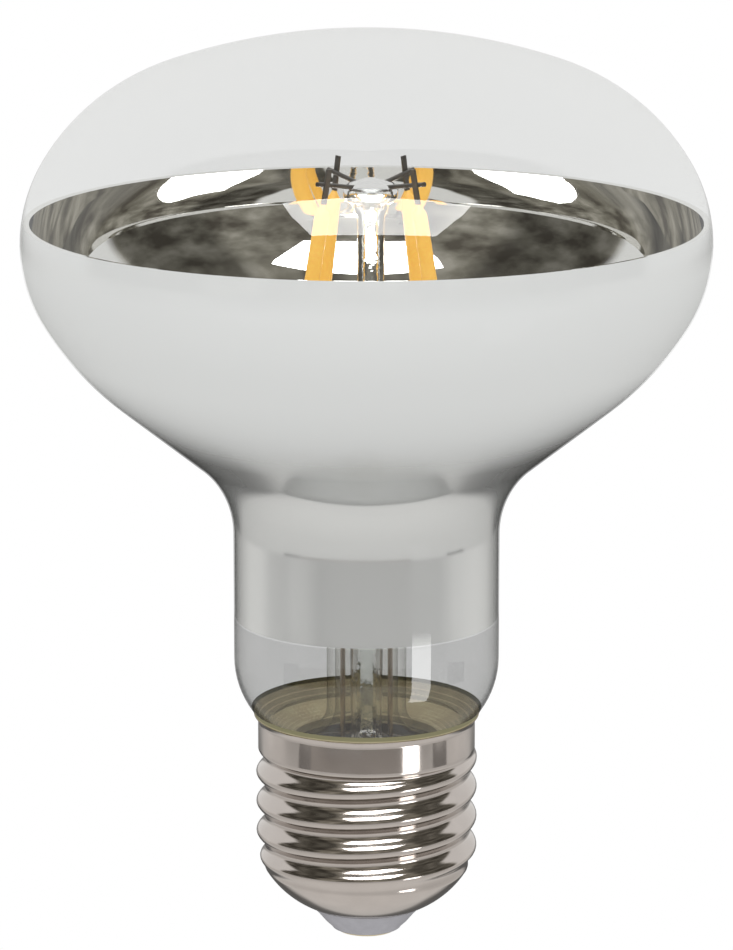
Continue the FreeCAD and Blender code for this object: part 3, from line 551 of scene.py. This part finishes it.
def screw_shell():
    segments = 180
    vertices = []
    rings = []

    def ring(level, radius=None, inset=0.0, ragged=0.0):
        """A ring at a level, less an inset on the thread's own radius unless another radius is given."""
        row = []
        for step in range(segments):
            angle = 2 * math.pi * step / segments
            dip = ragged * rim_dip(angle)
            if radius is None:
                across = shell_radius(angle, level) - inset
            else:
                across = radius - 0.5 * dip
            row.append(len(vertices))
            vertices.append((across * math.cos(angle), across * math.sin(angle), level - dip))
        rings.append(row)

    lip_r, lip_top = SKIRT_R + LIP_FLARE, LIP_Z + LIP_RISE
    skirt = [
        (SKIRT_R, SKIRT_Z + 0.25), (SKIRT_R, SKIRT_MIDDLE), (SKIRT_R, LIP_Z - 0.35), (SKIRT_R, LIP_Z - 0.15),
        (SKIRT_R + 0.06, LIP_Z), (lip_r - 0.06, lip_top - 0.12), (lip_r, lip_top - 0.04),
        (lip_r - 0.05, lip_top), (lip_r - SHEET, lip_top - 0.02),
    ]
    levels = thread_levels()
    for level in levels:
        ring(level)
    for radius, level in skirt:
        ring(level, radius, ragged=smooth_step(*RAGGED, level))
    for level in (LIP_Z, SKIRT_MIDDLE):
        ring(level, SKIRT_R - SHEET)
    for level in reversed(levels):
        ring(level, inset=SHEET)
    faces = []
    for index in range(len(rings)):
        low, high = rings[index], rings[(index + 1) % len(rings)]
        for step in range(segments):
            after = (step + 1) % segments
            faces.append((low[step], low[after], high[after], high[step]))
    return mesh_object("thread_shell", vertices, faces, SHELL_SHARP)


shell = screw_shell()
stands_for(shell, NICKEL, "nickel_shell", "screw_shell")

# Glass stem: flare and tube, press, exhaust tube, rod with its button
TUBE_R, TUBE_WALL = 4.7, 1.0
TURN_A, TURN_RISE = math.radians(72.0), 2.9
TUBE_LENGTH, ROOF_RISE = 12.5, 1.6
PRESS_W, PRESS_D, PRESS_L, PRESS_EDGE = 10.0, 3.4, 5.5, 0.9
EXHAUST_R, EXHAUST_WALL, EXHAUST_LENGTH = 1.9, 0.7, 24.5
SEAM = 0.05
tube_bore = TUBE_R - TUBE_WALL
turn_r = HEEL_R - GLASS_WALL
turn_x = heel_x + turn_r * math.cos(TURN_A)
turn_z = heel_z - turn_r * math.sin(TURN_A)
tube_foot = turn_z + TURN_RISE
tube_top = tube_foot + TUBE_LENGTH
roof = tube_top + ROOF_RISE
press_top = roof + PRESS_L


def bend(start, stop, count):
    """Arc that rises from start and ends upright at stop, with its last point."""
    width, rise = start[0] - stop[0], stop[1] - start[1]
    radius = (width * width + rise * rise) / (2 * width)
    centre_x, centre_z = stop[0] + radius, stop[1]
    first = math.atan2(start[1] - centre_z, start[0] - centre_x)
    return arc(centre_x, centre_z, radius, first, -math.pi, count) + [stop]


def raised(profile, level):
    """A profile of (radius, height) points, moved up to a level."""
    return [(radius, level + height) for radius, height in profile]


under_turn = (heel_x + HEEL_R * math.cos(TURN_A), heel_z - HEEL_R * math.sin(TURN_A))
upper_side = arc(heel_x, heel_z, turn_r, -HEEL_A, -TURN_A, 6)
upper_side += bend((turn_x, turn_z), (TUBE_R, tube_foot), 10)
under_side = arc(heel_x, heel_z, HEEL_R, -HEEL_A, -TURN_A, 6)
under_side += bend(under_turn, (tube_bore, tube_foot), 10)
closed_top = [
    (TUBE_R, tube_top), (TUBE_R - 0.5, tube_top + 1.4),
    (PRESS_D / 2, roof + TUBE_WALL), (0.0, roof + TUBE_WALL),
]
closed_roof = [
    (0.0, roof), (EXHAUST_R, roof - SEAM),
    (tube_bore - 0.4, tube_top + 0.6), (tube_bore, tube_top - 0.6),
]
flare = lathe("stem_flare_glass", upper_side + closed_top + closed_roof + under_side[::-1], 96)
stands_for(flare, FLARE_GLASS, "stem_glass", "stem_flare")


def soft_block(name, width, depth, foot, top, edge):
    """An upright block with rounded edges, in millimetres."""
    bpy.ops.mesh.primitive_cube_add(size=1.0, location=(0, 0, 0))
    piece = bpy.context.object
    piece.name = name
    for vertex in piece.data.vertices:
        level = foot + (vertex.co.z + 0.5) * (top - foot)
        vertex.co = Vector((vertex.co.x * width, vertex.co.y * depth, level)) * MM
    rounding = piece.modifiers.new("rounding", "BEVEL")
    rounding.width = edge * MM
    rounding.segments = 4
    piece.data.shade_smooth()
    return piece


press = soft_block("stem_press_glass", PRESS_W, PRESS_D, roof + 0.02, press_top, PRESS_EDGE)
stands_for(press, STEM_GLASS, "stem_glass", "stem_flare")

tip_z = roof - EXHAUST_LENGTH
bore_r = EXHAUST_R - EXHAUST_WALL
exhaust_outline = raised([(0.0, 0.0), (0.7, 0.14), (1.3, 0.5), (1.75, 1.05), (EXHAUST_R, 1.7)], tip_z)
exhaust_outline += [(EXHAUST_R, roof - SEAM), (bore_r, roof - SEAM)]
exhaust_outline += raised([(bore_r, 2.6), (0.8, 2.0), (0.0, 1.7)], tip_z)
exhaust = lathe("exhaust_glass", exhaust_outline, 48)
stands_for(exhaust, STEM_GLASS, "stem_glass", "exhaust_tube")

STEM_X = 0.5
ROD_R, ROD_LENGTH, ROD_LOWER = 1.57, 39.6, 18.0
BUTTON_R, BUTTON_EDGE, BUTTON_RISE, BUTTON_TOP = 3.55, 1.1, 2.3, 1.7
CRIMP_TURN, CRIMP_DEPTH = math.radians(42), 0.10
rod_top = press_top + ROD_LENGTH
button_z = rod_top + BUTTON_RISE
button_flat = BUTTON_R - BUTTON_EDGE
rod_outline = [(0.0, press_top), (ROD_R, press_top), (ROD_R, press_top + ROD_LOWER)]
rod_outline += raised([(ROD_R, -1.2), (ROD_R + 0.12, -0.4), (ROD_R + 0.5, 0.25)], rod_top)
rod_outline += [(button_flat - 0.1, button_z - 1.35)]
rod_outline += arc(button_flat, button_z, BUTTON_EDGE, -math.pi / 2 + 0.3, math.pi / 2, 14)
rod_outline += raised([(button_flat, BUTTON_EDGE), (1.8, 1.25), (1.3, 1.45)], button_z)
rod_outline += raised([(0.7, BUTTON_TOP - 0.06), (0.0, BUTTON_TOP)], button_z)


def crimped(angle, radius, height):
    """Pinches the button between its four wires."""
    share = smooth_step(rod_top - 0.2, button_z - 0.3, height) * smooth_step(0.4, 2.6, radius)
    squeeze = 0.5 - 0.5 * math.cos(4 * (angle - CRIMP_TURN))
    return radius * (1 - CRIMP_DEPTH * share * squeeze), height


rod = lathe("stem_rod_glass", rod_outline, 72, axis=(STEM_X, 0.0), wobble=crimped)
stands_for(rod, STEM_GLASS, "stem_glass", "stem_rod")

# Filament strips, along the same lines as the part's source has them
FILAMENT_R, FILAMENT_LENGTH = 0.875, 38.0
WIRE_R, TAB_T = 0.27, 0.25
WIRE_SIDES = {"front": (6.15, -5.5, 8.8), "back": (4.95, 5.5, 6.3)}
WIRE_OUT, WIRE_LIFT, WIRE_RISE = 1.2, 0.6, 1.8
DEPTH_LEAN = math.radians(1.0)
TAB_AT, TAB_HANG = 0.84, 2.2
END_SHARE, END_ROUNDING = 0.25, (-0.25, 1.35)
LUMP_PITCH, LUMP_DEPTH = 1.35, 0.035
FLATTENED = 0.12


def filament_ends(side, row):
    """The upper end of a strip and the way down it."""
    across, depth, lean = WIRE_SIDES[row]
    outward = Vector((side * across, depth, 0.0)).normalized()
    base = Vector((STEM_X, 0.0, button_z))
    start = base + outward * WIRE_OUT + Vector((0.0, 0.0, WIRE_LIFT))
    stop = base + Vector((side * across, depth, WIRE_RISE))
    backward = math.copysign(math.tan(DEPTH_LEAN), depth)
    down = Vector((math.tan(math.radians(lean)) * side, backward, -1)).normalized()
    facing = down.cross((stop - start).normalized()).normalized()
    if facing.x * side > 0:
        facing = -facing
    on_tab = start + (stop - start) * TAB_AT + facing * (WIRE_R + TAB_T / 2)
    return on_tab + down * TAB_HANG, down


def filament(name, side, row):
    top, down = filament_ends(side, row)
    across = down.cross(Vector((0.0, 1.0, 0.0))).normalized()
    depth = down.cross(across).normalized()
    steps = 96
    around = 20
    vertices = []
    faces = []
    for step in range(steps + 1):
        along = FILAMENT_LENGTH * step / steps
        dome = smooth_step(*END_ROUNDING, min(along, FILAMENT_LENGTH - along))
        lump = 1 - LUMP_DEPTH * (0.5 + 0.5 * math.cos(2 * math.pi * along / LUMP_PITCH))
        radius = FILAMENT_R * (END_SHARE + (1 - END_SHARE) * dome) * lump
        for spot in range(around):
            angle = 2 * math.pi * spot / around
            flat = 1 - FLATTENED * abs(math.sin(angle)) ** 3
            side_step = across * math.cos(angle) + depth * math.sin(angle) * flat
            vertices.append(top + down * along + side_step * radius)
    for step in range(steps):
        for spot in range(around):
            after = (spot + 1) % around
            low, high = step * around, (step + 1) * around
            faces.append((low + spot, low + after, high + after, high + spot))
    faces.append(tuple(reversed(range(around))))
    faces.append(tuple(range(steps * around, (steps + 1) * around)))
    return mesh_object(name, vertices, faces, STRIP_SHARP)


for row in ("front", "back"):
    for side_name, side in (("left", -1), ("right", 1)):
        strip = filament("strip_%s_%s" % (row, side_name), side, row)
        stands_for(strip, PHOSPHOR_WITH_PAINTED_GLOW, "phosphor", "filament_%s_%s" % (row, side_name))

# Insulator and contact
FACE_R, PLATE_T = 4.17, 0.3
HOLE_R, INSULATOR_R, INSULATOR_TOP = 1.1, 8.4, 5.8
CONTACT_R, CONTACT_BORE, CONTACT_LIP_R, CONTACT_TOP = 3.6, 0.5, 1.7, 6.1
sheet_r = CLOSING_R - SHEET
shell_end_x = closing_x + CLOSING_R * math.cos(CLOSING_END)
shell_end_in = (closing_x + sheet_r * math.cos(CLOSING_END), closing_z - sheet_r * math.sin(CLOSING_END))
seat_end = -math.acos((INSULATOR_R - closing_x) / sheet_r)
insulator_outline = [
    (HOLE_R, PLATE_T), (FACE_R - 0.25, PLATE_T), (FACE_R - 0.05, PLATE_T + 0.08),
    (FACE_R + 0.08, PLATE_T + 0.28), (5.0, 1.30), (5.9, 2.38), (6.55, 3.05),
    (shell_end_x - 0.02, shell_foot - 0.03), shell_end_in,
]
insulator_outline += arc(closing_x, closing_z, sheet_r, -CLOSING_END, seat_end, 5)[1:]
insulator_outline += [(INSULATOR_R, 4.52), (INSULATOR_R, INSULATOR_TOP), (HOLE_R, INSULATOR_TOP)]
base_piece = lathe("cap_insulator", insulator_outline, 96)
stands_for(base_piece, INSULATOR, "insulator_grey", "insulator")
contact_outline = [
    (0.0, 0.0), (CONTACT_R - 0.25, 0.0), (CONTACT_R - 0.05, 0.05), (CONTACT_R, 0.15), (CONTACT_R, PLATE_T),
    (HOLE_R, PLATE_T), (HOLE_R, INSULATOR_TOP), (CONTACT_LIP_R, INSULATOR_TOP), (CONTACT_LIP_R, CONTACT_TOP),
    (CONTACT_BORE, CONTACT_TOP), (CONTACT_BORE, PLATE_T), (0.0, PLATE_T),
]
contact = lathe("contact_plate", contact_outline, 64)
stands_for(contact, CONTACT, "contact_metal", "centre_contact")

# Camera fitted to the photograph
AIM_Z = EQUATOR_Z - 27.6
CAMERA_DISTANCE = 521.28
CAMERA_RISE = 0.226
CAMERA_LENS, CAMERA_SENSOR = 168.75, 36.0
camera_data = bpy.data.cameras.new("camera")
camera = bpy.data.objects.new("camera", camera_data)
bpy.context.scene.collection.objects.link(camera)
camera.location = Vector((
    0.0,
    -CAMERA_DISTANCE * math.cos(CAMERA_RISE),
    AIM_Z + CAMERA_DISTANCE * math.sin(CAMERA_RISE),
)) * MM
camera.rotation_euler = (math.pi / 2 - CAMERA_RISE, 0.0, 0.0)
camera_data.sensor_width = CAMERA_SENSOR
camera_data.lens = CAMERA_LENS
camera_data.clip_start = 0.01
camera_data.clip_end = 20.0
scene = bpy.context.scene
scene.camera = camera
scene.view_settings.view_transform = "Standard"
scene.render.film_transparent = False
scene.cycles.max_bounces = 16
scene.cycles.transparent_max_bounces = 24
scene.cycles.glossy_bounces = 8
scene.cycles.transmission_bounces = 12
scene.cycles.caustics_reflective = True
scene.cycles.caustics_refractive = True

# Studio: white to the camera and through glass; reflections see a backdrop, a dim room and a pale table.
# Tones go by bearing in degrees, with nought toward the camera, or by the height of the direction.
HORIZON = [
    (-180, 0.22), (-165, 0.30), (-145, 0.60), (-123, 0.86), (-105, 0.80), (-92, 0.56), (-78, 0.48),
    (-66, 0.60), (-54, 0.52), (-42, 0.36), (-20, 0.40), (35, 0.40), (48, 0.42), (68, 0.44), (82, 0.72),
    (111, 0.84), (128, 0.78), (146, 0.50), (165, 0.32), (180, 0.22),
]
ROOM = [
    (-180, 1.0), (-104, 1.0), (-99, 0.45), (-58, 0.42), (-48, 1.0),
    (52, 1.0), (62, 0.5), (99, 0.45), (104, 1.0), (180, 1.0),
]
BACKDROP = [(-180, 1.0), (-106, 1.0), (-101, 0.0), (101, 0.0), (106, 1.0), (180, 1.0)]
BEHIND = [(-180, 1.0), (-153, 1.0), (-140, 0.0), (140, 0.0), (153, 1.0), (180, 1.0)]
TABLE = [(-1.0, 0.84), (-0.92, 0.84), (-0.60, 0.72), (-0.28, 0.66)]
TABLE_BACK = [(-1.0, 0.84), (-0.90, 0.78), (-0.80, 0.66), (-0.74, 0.22), (-0.66, 0.13), (-0.34, 0.12)]
TABLE_EDGE, ROOM_EDGE = (-0.30, -0.266), (-0.16, -0.08)
ROOM_THINGS = [(0.36, (0.11, 0.10, 0.085)), (0.50, (0.25, 0.24, 0.205)), (0.66, (0.44, 0.425, 0.38))]
SEEN_WHITE, BACKDROP_WHITE, PLAIN_LIGHT = (1.0, 1.0, 1.0), (0.92, 0.92, 0.91), (0.94, 0.94, 0.935)


def warm(tone):
    return (tone, tone * 0.985, tone * 0.955)


def bearing_ramp(tree, turn, stops):
    return ramp_of(tree, turn, [((angle + 180) / 360, warm(tone)) for angle, tone in stops])


def depth_ramp(tree, depth, stops):
    return ramp_of(tree, depth, [(level + 1.0, warm(tone)) for level, tone in stops])


def background(tree, colour):
    node = tree.nodes.new("ShaderNodeBackground")
    put(tree, node.inputs["Color"], colour)
    return node.outputs[0]


def studio_world():
    world = bpy.data.worlds.new("studio")
    scene.world = world
    world.use_nodes = True
    tree = world.node_tree
    tree.nodes.clear()
    place = tree.nodes.new("ShaderNodeTexCoord").outputs["Generated"]
    axes = axes_of(tree, place)
    height = axes["Z"]
    bearing = maths(tree, "ARCTAN2", axes["X"], maths(tree, "MULTIPLY", axes["Y"], -1.0))
    turn = span(tree, bearing, -math.pi, math.pi)
    things = ramp_of(tree, noise_of(tree, place, scale=4.0, detail=3.0), ROOM_THINGS)
    room = mixed(tree, 1.0, things, bearing_ramp(tree, turn, ROOM), blend="MULTIPLY")
    upper = mixed(tree, bearing_ramp(tree, turn, BACKDROP), room, BACKDROP_WHITE)
    depth = span(tree, height, -1.0, 0.0)
    tables = (depth_ramp(tree, depth, TABLE), depth_ramp(tree, depth, TABLE_BACK))
    table = mixed(tree, bearing_ramp(tree, turn, BEHIND), *tables)
    above_table = span(tree, height, *TABLE_EDGE, smooth=True)
    low = mixed(tree, above_table, table, bearing_ramp(tree, turn, HORIZON))
    full = mixed(tree, span(tree, height, *ROOM_EDGE, smooth=True), low, upper)
    rays = tree.nodes.new("ShaderNodeLightPath").outputs
    lit = mixed_shaders(tree, rays["Is Diffuse Ray"], background(tree, full), background(tree, PLAIN_LIGHT))
    straight = maths(tree, "MAXIMUM", rays["Is Camera Ray"], rays["Is Transmission Ray"])
    out = tree.nodes.new("ShaderNodeOutputWorld")
    put(tree, out.inputs["Surface"], mixed_shaders(tree, straight, lit, background(tree, SEEN_WHITE)))


studio_world()

SOFTBOX_PLACE, SOFTBOX_SIZE, SOFTBOX_AIM = (60, -815, 980), (960, 632), (60, -814, 0)
STRIP_PLACE, STRIP_SIZE, STRIP_AIM = (221, -203, -93), (92, 114), (0, 0, -93)


def panel(name, centre, size, aim, strength):
    """A soft light panel with its places and size in millimetres."""
    data = bpy.data.lights.new(name, "AREA")
    data.shape = "RECTANGLE"
    data.size = size[0] * MM
    data.size_y = size[1] * MM
    data.energy = strength * size[0] * size[1] * MM * MM * math.pi
    lamp = bpy.data.objects.new(name, data)
    scene.collection.objects.link(lamp)
    lamp.location = Vector(centre) * MM
    way = Vector(aim) - Vector(centre)
    lamp.rotation_euler = way.to_track_quat("-Z", "Y").to_euler()
    lamp.visible_camera = False
    return lamp


softbox = panel("softbox", SOFTBOX_PLACE, SOFTBOX_SIZE, SOFTBOX_AIM, strength=8.0)
softbox.visible_diffuse = False
fill = panel("fill", SOFTBOX_PLACE, SOFTBOX_SIZE, SOFTBOX_AIM, strength=2.2)
fill.visible_glossy = False
fill.visible_transmission = False
strip_light = panel("low_strip", STRIP_PLACE, STRIP_SIZE, STRIP_AIM, strength=4.5)
strip_light.visible_diffuse = False
lit_pieces = bpy.data.collections.new("lit_by_strip")
for piece in (envelope, shell, flare):
    lit_pieces.objects.link(piece)
strip_light.light_linking.receiver_collection = lit_pieces

# Cards that give the cap its dark reflections: how far away they stand, and their lower and upper edges
CARD_AWAY = 1500.0
CARD_SPAN, FRONT_CARD_SPAN = (-445.0, -396.0), (-438.0, -402.0)


def card(name, material, first, last, levels):
    """An upright card bent round the lamp between two bearings, seen only in the lamp's reflections."""
    steps = 24
    vertices = []
    for step in range(steps + 1):
        turn = math.radians(first + (last - first) * step / steps)
        for level in levels:
            vertices.append((CARD_AWAY * math.sin(turn), -CARD_AWAY * math.cos(turn), level))
    faces = [(2 * step, 2 * step + 2, 2 * step + 3, 2 * step + 1) for step in range(steps)]
    piece = mesh_object(name, vertices, faces)
    piece.data.materials.append(material)
    piece.visible_camera = False
    piece.visible_diffuse = False
    piece.visible_transmission = False
    piece.visible_shadow = False


card("left_card", DARK_CARD, -76.5, -61.0, CARD_SPAN)
card("right_card", DARK_CARD, 74.5, 94.0, CARD_SPAN)
card("front_card", BROWN_CARD, -61.0, 39.0, FRONT_CARD_SPAN)
